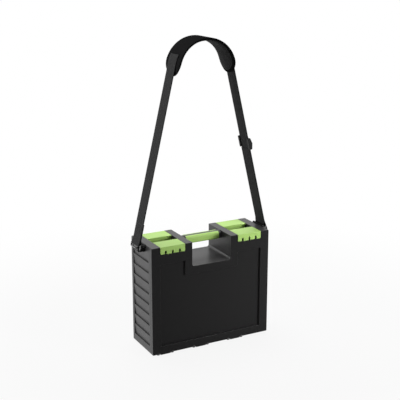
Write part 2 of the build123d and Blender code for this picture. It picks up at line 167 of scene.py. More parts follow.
class Nodes:
    """A short way to add and join nodes in one node tree."""

    def __init__(self, tree: bpy.types.NodeTree) -> None:
        """Keeps the tree that it adds to."""
        self.tree = tree

    @classmethod
    def emptied(cls, owner: bpy.types.Material | bpy.types.World) -> "Nodes":
        """Clears the tree of a material or world, and starts in it.

        Args:
            owner: The material or world.

        Returns:
            Its nodes.
        """
        owner.use_nodes = True
        owner.node_tree.nodes.clear()
        return cls(owner.node_tree)

    def add(
        self, kind: str, inputs: dict[str | int, object] | None = None, **settings: object
    ) -> bpy.types.Node:
        """Adds a node, sets it up and joins or sets its inputs.

        Args:
            kind: The node's type name.
            inputs: Values or output sockets by input name or number.
            settings: Attributes of the node.

        Returns:
            The new node.
        """
        node = self.tree.nodes.new(kind)
        for name, value in settings.items():
            setattr(node, name, value)
        for name, value in (inputs or {}).items():
            socket = node.inputs[name]
            if isinstance(value, bpy.types.NodeSocket):
                self.tree.links.new(value, socket)
            else:
                socket.default_value = value
        return node

    def join(self, source: bpy.types.NodeSocket, node: bpy.types.Node, name: str) -> None:
        """Feeds a node's named input from a socket."""
        self.tree.links.new(source, node.inputs[name])

    def group(self, kind: Group, inputs: dict[str | int, object] | None = None) -> bpy.types.Node:
        """Places a shared node group with its values, and returns its node."""
        return self.add("ShaderNodeGroup", inputs, node_tree=bpy.data.node_groups[kind.value])

    def place(self) -> bpy.types.NodeSocket:
        """Adds the piece's own coordinates, in metres, and returns their socket."""
        return self.add("ShaderNodeTexCoord").outputs["Object"]

    def math(self, operation: str, *values: object) -> bpy.types.NodeSocket:
        """Adds a Math node with its inputs in order, and returns the result's socket."""
        return self.add("ShaderNodeMath", dict(enumerate(values)), operation=operation).outputs[0]

    def mix(self, factor: object, first: object, second: object) -> bpy.types.NodeSocket:
        """Adds a colour Mix node, where the factor is the second colour's share, and returns the colour."""
        return self.add("ShaderNodeMix", {0: factor, 6: first, 7: second}, data_type="RGBA").outputs[2]

    def noise(self, vector: object, scale: object, detail: float = 2.0) -> bpy.types.NodeSocket:
        """Adds a Noise Texture of that scale per metre and that many octaves, and returns its value."""
        inputs = {"Vector": vector, "Scale": scale, "Detail": detail}
        return self.add("ShaderNodeTexNoise", inputs).outputs["Fac"]

    def cells(self, vector: object, scale: object) -> bpy.types.NodeSocket:
        """Adds a smooth Voronoi Texture, and returns the distance from its cells' middles."""
        inputs = {"Vector": vector, "Scale": scale}
        return self.add("ShaderNodeTexVoronoi", inputs, feature="SMOOTH_F1").outputs["Distance"]

    def stretch(self, vector: object, scale: Point3) -> bpy.types.NodeSocket:
        """Adds a Mapping node that scales a vector, and returns the result."""
        return self.add("ShaderNodeMapping", {"Vector": vector, "Scale": scale}).outputs["Vector"]

    def ramp(self, value: object, start: float, end: float) -> bpy.types.NodeSocket:
        """Adds a Map Range node that goes from 0 at the start to 1 at the end, and returns the result."""
        inputs = {"Value": value, "From Min": start, "From Max": end}
        return self.add("ShaderNodeMapRange", inputs).outputs["Result"]

    def bump(self, shader: bpy.types.Node, height: object, distance: float, strength: float) -> None:
        """Raises a height, in metres, on a shader's surface."""
        inputs = {"Height": height, "Distance": distance, "Strength": strength}
        self.join(self.add("ShaderNodeBump", inputs).outputs["Normal"], shader, "Normal")


def make_group(
    kind: Group, inputs: dict[str, float | None], outputs: list[str]
) -> tuple[Nodes, bpy.types.Node]:
    """Starts a shader node group with named sockets.

    Args:
        kind: Which group.
        inputs: Starting value by name, or None for a vector.
        outputs: Names of the values that it puts out.

    Returns:
        The group's nodes and its input node.
    """
    tree = bpy.data.node_groups.new(kind.value, "ShaderNodeTree")
    for name, value in inputs.items():
        socket_type = "NodeSocketVector" if value is None else "NodeSocketFloat"
        socket = tree.interface.new_socket(name=name, in_out="INPUT", socket_type=socket_type)
        if value is not None:
            socket.default_value = value
    for name in outputs:
        tree.interface.new_socket(name=name, in_out="OUTPUT", socket_type="NodeSocketFloat")
    nodes = Nodes(tree)
    return nodes, nodes.add("NodeGroupInput")


@dataclass(frozen=True)
class GrainGroup:
    """Spark-eroded grain of moulded plastic: a height, a slow cloudiness and a mask of scuffs."""

    scale: float = 2600.0
    grain_detail: float = 3.0
    pit_depth: float = 0.6
    cloud_scale: float = 22.0
    cloud_detail: float = 4.0
    scuff_scale: float = 160.0
    scuff_detail: float = 5.0
    scuff_stretch: float = 0.12
    scuff_start: float = 0.62
    scuff_full: float = 0.78

    def build(self) -> None:
        """Makes the node group."""
        inputs = {"Vector": None, "Scale": self.scale}
        nodes, start = make_group(Group.GRAIN, inputs, ["Height", "Cloud", "Scuff"])
        place, scale = start.outputs["Vector"], start.outputs["Scale"]
        grain = nodes.noise(place, scale, self.grain_detail)
        pits = nodes.math("MULTIPLY", nodes.cells(place, scale), self.pit_depth)
        long_way = nodes.stretch(place, (1.0, 1.0, self.scuff_stretch))
        scuff = nodes.noise(long_way, self.scuff_scale, self.scuff_detail)
        outputs = {
            "Height": nodes.math("ADD", grain, pits),
            "Cloud": nodes.noise(place, self.cloud_scale, self.cloud_detail),
            "Scuff": nodes.ramp(scuff, self.scuff_start, self.scuff_full),
        }
        nodes.add("NodeGroupOutput", outputs)


@dataclass(frozen=True)
class EdgeGroup:
    """Mask of the outer edges, where a moulding is rubbed paler and painted lighter as a highlight."""

    reach: float = 1.2 * MM
    samples: int = 8
    open_from: float = 0.85
    open_full: float = 0.35

    def build(self) -> None:
        """Makes the node group."""
        nodes, start = make_group(Group.EDGE, {"Reach": self.reach}, ["Edge"])
        reach = {"Distance": start.outputs["Reach"]}
        inside = nodes.add("ShaderNodeAmbientOcclusion", reach, inside=True, samples=self.samples)
        edge = nodes.ramp(inside.outputs["AO"], self.open_from, self.open_full)
        nodes.add("NodeGroupOutput", {"Edge": edge})


@dataclass(frozen=True)
class WeaveGroup:
    """Woven tape seen through its own UV map: u along the tape and v across it, both in metres."""

    pick: float = 1.5 * MM
    end: float = 1.0 * MM
    stagger: float = 0.5
    roundness_across: float = 0.5
    roundness_along: float = 0.4
    fuzz_scale: float = 900.0
    fuzz_detail: float = 3.0
    fuzz_share: float = 0.3

    def build(self) -> None:
        """Makes the node group: ribs of one end each, where each rib's picks are shifted by its stagger."""
        inputs = {"UV": None, "Pick": self.pick, "End": self.end}
        nodes, start = make_group(Group.WEAVE, inputs, ["Height", "Thread"])
        split = nodes.add("ShaderNodeSeparateXYZ", {"Vector": start.outputs["UV"]})
        column = nodes.math("DIVIDE", split.outputs["Y"], start.outputs["End"])
        row = nodes.math("DIVIDE", split.outputs["X"], start.outputs["Pick"])
        shift = nodes.math("MULTIPLY", nodes.math("FLOOR", column), self.stagger)
        shifted = nodes.math("ADD", row, shift)
        waves = []
        for turns, power in ((column, self.roundness_across), (shifted, self.roundness_along)):
            wave = nodes.math("SINE", nodes.math("MULTIPLY", turns, math.pi))
            waves.append(nodes.math("POWER", nodes.math("ABSOLUTE", wave), power))
        height = nodes.math("MULTIPLY", *waves)
        fuzz = nodes.noise(start.outputs["UV"], self.fuzz_scale, self.fuzz_detail)
        # The thread mask falls low in the weave's valleys, where the tape is darkened as painted shade; the
        # fuzz adds random tone.
        thread = nodes.math(
            "ADD",
            nodes.math("MULTIPLY", height, 1.0 - self.fuzz_share),
            nodes.math("MULTIPLY", fuzz, self.fuzz_share),
        )
        nodes.add("NodeGroupOutput", {"Height": height, "Thread": thread})


@dataclass(frozen=True)
class Finish:
    """What every finish has: a name, a colour and how rough it is."""

    name: str
    colour: Colour
    roughness: float

    def make(self) -> bpy.types.Material:
        """Makes the material: a Principled shader, which each kind of finish then works on.

        Returns:
            The material.
        """
        material = bpy.data.materials.new(self.name)
        nodes = Nodes.emptied(material)
        inputs = {"Base Color": opaque(self.colour), "Roughness": self.roughness}
        shader = nodes.add("ShaderNodeBsdfPrincipled", inputs)
        nodes.add("ShaderNodeOutputMaterial", {"Surface": shader.outputs[0]})
        self.work(nodes, shader)
        return material

    def work(self, nodes: Nodes, shader: bpy.types.Node) -> None:
        """Adds what one kind of finish shows."""
        raise NotImplementedError(f"{self.name} is no kind of finish")

    def swing_roughness(
        self, nodes: Nodes, shader: bpy.types.Node, over: bpy.types.NodeSocket, swing: float
    ) -> None:
        """Lets the roughness swing about its own value with a noise."""
        rough = nodes.math("MULTIPLY_ADD", over, swing, self.roughness - swing / 2)
        nodes.join(rough, shader, "Roughness")


@dataclass(frozen=True)
class MouldedPlastic(Finish):
    """Satin moulded plastic with a fine grain, slightly cloudy, scuffed along the faces; edges can be rubbed
    paler and painted with a highlight.
    """

    wear_and_highlight: Colour = grey(0.1)
    specular: float = 0.5
    scuffed: float = 0.1
    edge_wear_and_highlight: float = 0.0
    grain_scale: float = 2600.0
    grain_height: float = 0.03 * MM
    grain_strength: float = 0.6
    cloud_share: float = 0.35
    cloud_shade: float = 0.82
    swing: float = 0.12

    def work(self, nodes: Nodes, shader: bpy.types.Node) -> None:
        """Adds the cloudiness, the scuffs, the edges' rubbed wear and painted highlight, and the grain.

        Args:
            nodes: The material's nodes.
            shader: Its shader.
        """
        grain = nodes.group(Group.GRAIN, {"Vector": nodes.place(), "Scale": self.grain_scale}).outputs
        cloud = nodes.math("MULTIPLY", grain["Cloud"], self.cloud_share)
        base = nodes.mix(cloud, opaque(self.colour), opaque(shaded(self.colour, self.cloud_shade)))
        wear_and_highlight = nodes.mix(nodes.math("MULTIPLY", grain["Scuff"], self.scuffed), base, opaque(self.wear_and_highlight))
        # The outer edges take the paler colour: rubbed wear, and a painted highlight where light would catch
        # them.
        if self.edge_wear_and_highlight:
            edge = nodes.math("MULTIPLY", nodes.group(Group.EDGE).outputs["Edge"], self.edge_wear_and_highlight)
            wear_and_highlight = nodes.mix(edge, wear_and_highlight, opaque(self.wear_and_highlight))
        nodes.join(wear_and_highlight, shader, "Base Color")
        self.swing_roughness(nodes, shader, grain["Cloud"], self.swing)
        nodes.bump(shader, grain["Height"], self.grain_height, self.grain_strength)
        shader.inputs["Specular IOR Level"].default_value = self.specular


@dataclass(frozen=True)
class PlainMetal(Finish):
    """Turned or drawn metal with fine lines round it."""

    metallic: float = 1.0
    line_scale: float = 700.0
    line_stretch: float = 12.0
    swing: float = 0.2

    def work(self, nodes: Nodes, shader: bpy.types.Node) -> None:
        """Adds the lines and the metal.

        Args:
            nodes: The material's nodes.
            shader: Its shader.
        """
        lines = nodes.noise(nodes.stretch(nodes.place(), (self.line_stretch, 1.0, 1.0)), self.line_scale)
        self.swing_roughness(nodes, shader, lines, self.swing)
        shader.inputs["Metallic"].default_value = self.metallic


@dataclass(frozen=True)
class CoatedWire(Finish):
    """Wire with a thick black coat, glossy where it is smooth."""

    flow_scale: float = 320.0
    flow_height: float = 0.08 * MM
    flow_strength: float = 0.5
    coat: float = 0.3
    swing: float = 0.2

    def work(self, nodes: Nodes, shader: bpy.types.Node) -> None:
        """Adds the coat's flow marks and gloss.

        Args:
            nodes: The material's nodes.
            shader: Its shader.
        """
        flow = nodes.noise(nodes.place(), self.flow_scale)
        self.swing_roughness(nodes, shader, flow, self.swing)
        nodes.bump(shader, flow, self.flow_height, self.flow_strength)
        shader.inputs["Coat Weight"].default_value = self.coat


@dataclass(frozen=True)
class WovenTape(Finish):
    """Polypropylene webbing: fine ribs along the tape, crossed by the weft."""

    valley_shade: Colour = grey(0.008)
    weave_height: float = 0.25 * MM
    weave_strength: float = 0.7
    sheen: float = 0.02
    sheen_roughness: float = 0.5
    specular: float = 0.06

    def work(self, nodes: Nodes, shader: bpy.types.Node) -> None:
        """Adds the weave, with painted shade darkening its valleys, and a little sheen.

        Args:
            nodes: The material's nodes.
            shader: Its shader.
        """
        place = nodes.add("ShaderNodeUVMap", uv_map=UV_MAP).outputs["UV"]
        weave = nodes.group(Group.WEAVE, {"UV": place}).outputs
        # The weave's valleys take a darker colour as painted shade.
        nodes.join(nodes.mix(weave["Thread"], opaque(self.valley_shade), opaque(self.colour)), shader, "Base Color")
        nodes.bump(shader, weave["Height"], self.weave_height, self.weave_strength)
        shader.inputs["Sheen Weight"].default_value = self.sheen
        shader.inputs["Sheen Roughness"].default_value = self.sheen_roughness
        shader.inputs["Specular IOR Level"].default_value = self.specular


@dataclass(frozen=True)
class PebbledSkin(Finish):
    """A dry, slightly pebbled surface: closed-cell foam rubber, or the fuzz of sewing thread."""

    specular: float = 0.1
    pebble_scale: float = 900.0
    pebble_height: float = 0.04 * MM
    pebble_strength: float = 0.6
    cloud_scale: float = 45.0
    cloud_detail: float = 4.0
    cloud_share: float = 0.5
    cloud_shade: float = 1.3

    def work(self, nodes: Nodes, shader: bpy.types.Node) -> None:
        """Adds the cloudiness and the pebbles.

        Args:
            nodes: The material's nodes.
            shader: Its shader.
        """
        place = nodes.place()
        cloud = nodes.noise(place, self.cloud_scale, self.cloud_detail)
        share = nodes.math("MULTIPLY", cloud, self.cloud_share)
        base = nodes.mix(share, opaque(self.colour), opaque(shaded(self.colour, self.cloud_shade)))
        nodes.join(base, shader, "Base Color")
        pebbles = nodes.cells(place, self.pebble_scale)
        nodes.bump(shader, pebbles, self.pebble_height, self.pebble_strength)
        shader.inputs["Specular IOR Level"].default_value = self.specular


FINE_GRAIN = 0.01 * MM
RUBBED_GREEN = srgb(205, 232, 160)

CASE_PLASTIC = MouldedPlastic(
    "case_plastic", (0.026, 0.0255, 0.026), 0.36, wear_and_highlight=grey(0.06), specular=0.34
)
# The cover's outer edges are painted much lighter: a painted highlight, with some rubbed wear.
COVER_PLASTIC = MouldedPlastic(
    "cover_plastic",
    (0.0155, 0.0153, 0.0155),
    0.38,
    wear_and_highlight=grey(0.12),
    specular=0.06,
    scuffed=0.015,
    edge_wear_and_highlight=0.9,
)
DIVIDER_PLASTIC = MouldedPlastic("divider_plastic", (0.02, 0.02, 0.021), 0.5)
LATCH_GREEN = MouldedPlastic(
    "latch_green", srgb(168, 206, 110), 0.4, wear_and_highlight=RUBBED_GREEN, grain_height=FINE_GRAIN, specular=0.3
)
GRIP_GREEN = MouldedPlastic(
    "grip_green", srgb(164, 202, 106), 0.42, wear_and_highlight=RUBBED_GREEN, grain_height=FINE_GRAIN, specular=0.3
)
HANDLE_BLACK = MouldedPlastic("handle_black", grey(0.012), 0.4)
ANCHOR_BLACK = MouldedPlastic("anchor_black", grey(0.006), 0.35, grain_height=FINE_GRAIN, specular=0.12)
PIN_STEEL = PlainMetal("pin_steel", (0.55, 0.56, 0.57), 0.32)
SCREW_STEEL = PlainMetal("screw_steel", (0.2, 0.2, 0.21), 0.38)
RING_BLACK = CoatedWire("ring_black", grey(0.006), 0.3)
WEBBING_BLACK = WovenTape("webbing_black", (0.026, 0.026, 0.0265), 0.8)
THREAD = PebbledSkin("thread", (0.045, 0.045, 0.046), 0.7)
PAD_SHELL = PebbledSkin("pad_shell", (0.009, 0.009, 0.0092), 0.7, specular=0.0)
PAD_LINING = PebbledSkin(
    "pad_lining",
    (0.028, 0.028, 0.0285),
    0.8,
    specular=0.05,
    pebble_scale=1500.0,
    pebble_height=0.06 * MM,
)

NODE_FINISHES: dict[str, Finish] = {
    "case_frame": CASE_PLASTIC,
    "centre_divider": DIVIDER_PLASTIC,
    "front_hinge_pins": PIN_STEEL,
    "back_hinge_pins": PIN_STEEL,
    "latch_front_left": LATCH_GREEN,
    "latch_front_right": LATCH_GREEN,
    "latch_back_left": LATCH_GREEN,
    "latch_back_right": LATCH_GREEN,
    "latch_pins_front": PIN_STEEL,
    "latch_pins_back": PIN_STEEL,
    "handle_core": HANDLE_BLACK,
    "handle_grip_front": GRIP_GREEN,
    "handle_grip_back": GRIP_GREEN,
    "handle_screws": SCREW_STEEL,
    "strap_studs": SCREW_STEEL,
    "strap_nuts": SCREW_STEEL,
    "strap_lug_left": ANCHOR_BLACK,
    "strap_lug_right": ANCHOR_BLACK,
    "strap_ring_left": RING_BLACK,
    "strap_ring_right": RING_BLACK,
    "slider_frame": ANCHOR_BLACK,
}


@dataclass
class Finishes:
    """Every finish, made once and kept by name."""

    made: dict[str, bpy.types.Material] = field(default_factory=dict)

    def of(self, finish: Finish) -> bpy.types.Material:
        """The material of a finish, made the first time that it is asked for.

        Args:
            finish: The finish.

        Returns:
            Its material.
        """
        if finish.name not in self.made:
            self.made[finish.name] = finish.make()
        return self.made[finish.name]

    def dress(self, piece: bpy.types.Object, finish: Finish) -> None:
        """Gives a piece one finish all over.

        Args:
            piece: The piece.
            finish: Its finish.
        """
        piece.data.materials.clear()
        piece.data.materials.append(self.of(finish))

    def dress_nodes(self) -> None:
        """Gives each hard piece of the frame its finish."""
        for name, finish in NODE_FINISHES.items():
            self.dress(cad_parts[name], finish)
            log.info("finish %s on %s", finish.name, name)


class Workpiece:
    """One sheet on the bench, pulled out of a small plane with the edit-mode tools."""

    def __init__(self, name: str) -> None:
        """Starts from a small plane at the origin, all of it selected.

        Args:
            name: The piece's name.
        """
        bpy.ops.object.select_all(action="DESELECT")
        bpy.ops.mesh.primitive_plane_add(size=MM)
        self.piece = bpy.context.object
        self.piece.name = name
        bpy.ops.object.mode_set(mode="EDIT")

    def line(self, points: list[Vector]) -> None:
        """Draws a line of edges: the plane shrinks to one vertex, which is pulled from point to point.

        Args:
            points: The line's points.
        """
        bpy.ops.mesh.select_all(action="SELECT")
        bpy.ops.mesh.merge(type="CENTER")
        bpy.ops.transform.translate(value=points[0])
        for start, end in zip(points, points[1:]):
            bpy.ops.mesh.extrude_region_move(TRANSFORM_OT_translate={"value": end - start})

    def pull(self, step: Vector, count: int) -> bpy.types.Object:
        """Extrudes all that is there, step after step, and leaves edit mode.

        Args:
            step: How far each step goes.
            count: How many steps there are.

        Returns:
            The piece.
        """
        bpy.ops.mesh.select_all(action="SELECT")
        for _ in range(count):
            bpy.ops.mesh.extrude_region_move(TRANSFORM_OT_translate={"value": step})
        bpy.ops.object.mode_set(mode="OBJECT")
        return self.piece

    def modifier(self, kind: str, **settings: object) -> None:
        """Adds a modifier and applies it.

        Args:
            kind: The modifier's type.
            settings: Its attributes.
        """
        added = self.piece.modifiers.new(kind.lower(), kind)
        for name, value in settings.items():
            setattr(added, name, value)
        bpy.ops.object.modifier_apply(modifier=added.name)


@dataclass
class CoverSkin:
    """One cover with two surfaces, chosen by the way each face points: dull dark cover plastic on its large
    face, and the case's glossier plastic round its sides and on top, lighter in colour as painted light.
    """

    node: str
    lit_facing_limit: float = 0.7

    def build(self, finishes: Finishes) -> bpy.types.Object:
        """Copies the cover's mesh and gives each face its surface.

        The copy keeps the cover's own normals. Its triangles aren't merged, because flat faces would
        then be shaded unevenly.

        Args:
            finishes: The finishes.

        Returns:
            The piece.
        """
        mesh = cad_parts[self.node].data.copy()
        piece = add_object(f"{self.node}_shell", mesh)
        finishes.dress(piece, COVER_PLASTIC)
        mesh.materials.append(finishes.of(CASE_PLASTIC))
        for face in mesh.polygons:
            # Faces that point sideways or up get the case's lighter, glossier plastic: painted light on the
            # faces that the light falls on. The large face keeps the darker cover plastic.
            face.material_index = int(max(abs(face.normal.x), face.normal.z) > self.lit_facing_limit)
        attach(piece, self.node)
        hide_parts(self.node)
        return piece


@dataclass
class StrapPlane:
    """The plane that one side's webbing hangs in: up along the webbing, out from the case, and across."""

    side: Side
    origin_x: float = 162.71 * MM
    origin_z: float = 256.63 * MM
    lean: float = math.radians(13.26)

    def at(self, out: float, up: float, across: float = 0.0) -> Vector:
        """A point of the plane in the shared frame.

        Args:
            out: Distance outwards from the webbing's middle line.
            up: Distance up along the webbing from its turn round the ring.
            across: Distance towards the back.

        Returns:
            The point.
        """
        x = self.origin_x + out * math.cos(self.lean) - up * math.sin(self.lean)
        z = self.origin_z + out * math.sin(self.lean) + up * math.cos(self.lean)
        return Vector((self.side.value * x, across, z))


@dataclass
class Tape:
    """A flat woven tape that follows a line and is as wide everywhere."""

    name: str
    path: list[Vector]
    width: float = WEBBING_WIDTH
    thickness: float = WEBBING_THICKNESS
    columns: int = 8
    selvedge_share: float = 0.32
    selvedge_angle: float = 60.0
    sharp_angle: float = 50.0

    def map_weave(self, mesh: bpy.types.Mesh) -> None:
        """Lays the weave's map on the tape while it is a single sheet: along and across it, in metres.

        Args:
            mesh: The tape's mesh.
        """
        lengths = [0.0]
        for start, end in zip(self.path, self.path[1:]):
            lengths.append(lengths[-1] + (end - start).length)
        layer = mesh.uv_layers.active or mesh.uv_layers.new(name=UV_MAP)
        layer.name = UV_MAP
        rows = [(point.x, point.z, length) for point, length in zip(self.path, lengths)]
        for loop in mesh.loops:
            place = mesh.vertices[loop.vertex_index].co
            nearest = min(rows, key=lambda row: (row[0] - place.x) ** 2 + (row[1] - place.z) ** 2)
            layer.data[loop.index].uv = (nearest[2], place.y + self.width / 2)

    def build(self, finishes: Finishes) -> bpy.types.Object:
        """Makes the tape with its map of weave, thickness and rounded selvedges.

        Args:
            finishes: The finishes.

        Returns:
            The piece.
        """
        work = Workpiece(self.name)
        work.line([point + Vector((0.0, -self.width / 2, 0.0)) for point in self.path])
        piece = work.pull(Vector((0.0, self.width / self.columns, 0.0)), self.columns)
        self.map_weave(piece.data)
        work.modifier("SOLIDIFY", thickness=self.thickness, offset=0.0, use_even_offset=True)
        work.modifier(
            "BEVEL",
            width=self.thickness * self.selvedge_share,
            segments=2,
            limit_method="ANGLE",
            angle_limit=math.radians(self.selvedge_angle),
        )
        smooth(piece, self.sharp_angle)
        finishes.dress(piece, WEBBING_BLACK)
        return piece


@dataclass
class SliderTurn:
    """The end of the right webbing, sewn round the slider's middle bar."""

    bar_out: float = 4.85 * MM
    bar_up: float = 208.0 * MM
    radius: float = 2.3 * MM
    open_angle: float = 6.0
    steps: int = 24

    def build(self, finishes: Finishes) -> bpy.types.Object:
        """Makes the turn.

        Args:
            finishes: The finishes.

        Returns:
            The piece.
        """
        plane = StrapPlane(Side.RIGHT)
        path = []
        for i in range(self.steps + 1):
            angle = math.radians(180 + self.open_angle + (360 - 2 * self.open_angle) * i / self.steps)
            out = self.bar_out + self.radius * math.cos(angle)
            path.append(plane.at(out, self.bar_up + self.radius * math.sin(angle)))
        piece = Tape("slider_turn_woven", path).build(finishes)
        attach(piece, "slider")
        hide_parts("slider_turn")
        return piece


@dataclass
class BoxStitch:
    """Box and cross of stitches that hold the left webbing's doubled layer."""

    low: float = 17.0 * MM
    high: float = 45.0 * MM
    half_across: float = 15.0 * MM
    surface: float = WEBBING_THICKNESS
    pitch: float = 3.2 * MM
    length: float = 2.5 * MM
    thread_radius: float = 0.35 * MM
    thread_sides: int = 8
    end_rounding: float = 0.45
    sharp_angle: float = 60.0

    def one(self) -> bpy.types.Object:
        """Makes one stitch: a short thread with rounded ends.

        Returns:
            The stitch, along X at the origin.
        """
        bpy.ops.object.select_all(action="DESELECT")
        bpy.ops.mesh.primitive_cylinder_add(
            vertices=self.thread_sides,
            radius=self.thread_radius,
            depth=self.length,
            rotation=(0.0, math.pi / 2, 0.0),
        )
        stitch = bpy.context.object
        bpy.ops.object.transform_apply(location=True, rotation=True, scale=True)
        bpy.ops.object.mode_set(mode="EDIT")
        bpy.ops.mesh.select_all(action="SELECT")
        bpy.ops.mesh.bevel(offset=self.thread_radius * self.end_rounding, segments=2, affect="EDGES")
        bpy.ops.object.mode_set(mode="OBJECT")
        return stitch

    def build(self, finishes: Finishes) -> bpy.types.Object:
        """Copies the stitch along the box and its cross, on the outside of the webbing.

        Args:
            finishes: The finishes.

        Returns:
            The piece.
        """
        stitch = self.one()
        plane = StrapPlane(Side.LEFT)
        box = [(-1, self.low), (1, self.low), (1, self.high), (-1, self.high), (-1, self.low)]
        corners = box + [(1, self.high)]
        lines = list(zip(corners, corners[1:])) + [((-1, self.high), (1, self.low))]
        mesh = bmesh.new()
        for (side_a, up_a), (side_b, up_b) in lines:
            start = plane.at(self.surface, up_a, side_a * self.half_across)
            end = plane.at(self.surface, up_b, side_b * self.half_across)
            count = round((end - start).length / self.pitch)
            turn = (end - start).to_track_quat("X", "Z").to_matrix().to_4x4()
            for i in range(count):
                copy = stitch.data.copy()
                copy.transform(Matrix.Translation(start.lerp(end, (i + 0.5) / count)) @ turn)
                mesh.from_mesh(copy)
                bpy.data.meshes.remove(copy)
        data = bpy.data.meshes.new("webbing_left_stitches")
        mesh.to_mesh(data)
        mesh.free()
        bpy.data.objects.remove(stitch)
        piece = add_object("webbing_left_stitches", data)
        smooth(piece, self.sharp_angle)
        data.materials.append(finishes.of(THREAD))
        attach(piece, "strap")
        return piece


@dataclass
class Webbing:
    """One side's webbing: its sewn or returned layer, its turn round the ring, and its run over the pad."""

    side: Side
    layer_top: float
    turn_radius: float = 2.85 * MM
    taper: float = 14.0 * MM
    run_length: float = 406.0 * MM
    wrap_radius: float = 72.25 * MM
    wrap_top: float = math.radians(30.0)
    turn_steps: int = 14
    wrap_steps: int = 10
    run_steps: int = 40

    def path(self) -> list[Vector]:
        """The middle line of the webbing, from the top of its inner layer to its end on the pad.

        Returns:
            The points.
        """
        plane = StrapPlane(self.side)
        half = WEBBING_THICKNESS / 2
        reach = math.hypot(half, self.taper)
        touch = math.atan2(self.taper, half) - math.acos(self.turn_radius / reach)
        points = []
        rows = max(2, round(self.run_steps * self.layer_top / self.run_length))
        for i in range(rows + 1):
            points.append(plane.at(-half, self.layer_top + (self.taper - self.layer_top) * i / rows))
        sweep = math.pi + 2 * touch
        for i in range(self.turn_steps + 1):
            angle = math.pi - touch + sweep * i / self.turn_steps
            points.append(plane.at(self.turn_radius * math.cos(angle), self.turn_radius * math.sin(angle)))
        for i in range(self.run_steps + 1):
            points.append(plane.at(half, self.taper + (self.run_length - self.taper) * i / self.run_steps))
        for i in range(1, self.wrap_steps + 1):
            angle = plane.lean + (self.wrap_top - plane.lean) * i / self.wrap_steps
            x = self.side.value * self.wrap_radius * math.cos(angle)
            points.append(Vector((x, 0.0, PAD_CENTRE_Z + self.wrap_radius * math.sin(angle))))
        return points

    def build(self, finishes: Finishes) -> bpy.types.Object:
        """Makes the webbing.

        Args:
            finishes: The finishes.

        Returns:
            The piece.
        """
        piece = Tape(f"webbing_{self.side.word}_woven", self.path()).build(finishes)
        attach(piece, "strap")
        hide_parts(f"webbing_{self.side.word}")
        return piece


LAYER_TOPS = {Side.LEFT: 48.0 * MM, Side.RIGHT: 194.2 * MM}


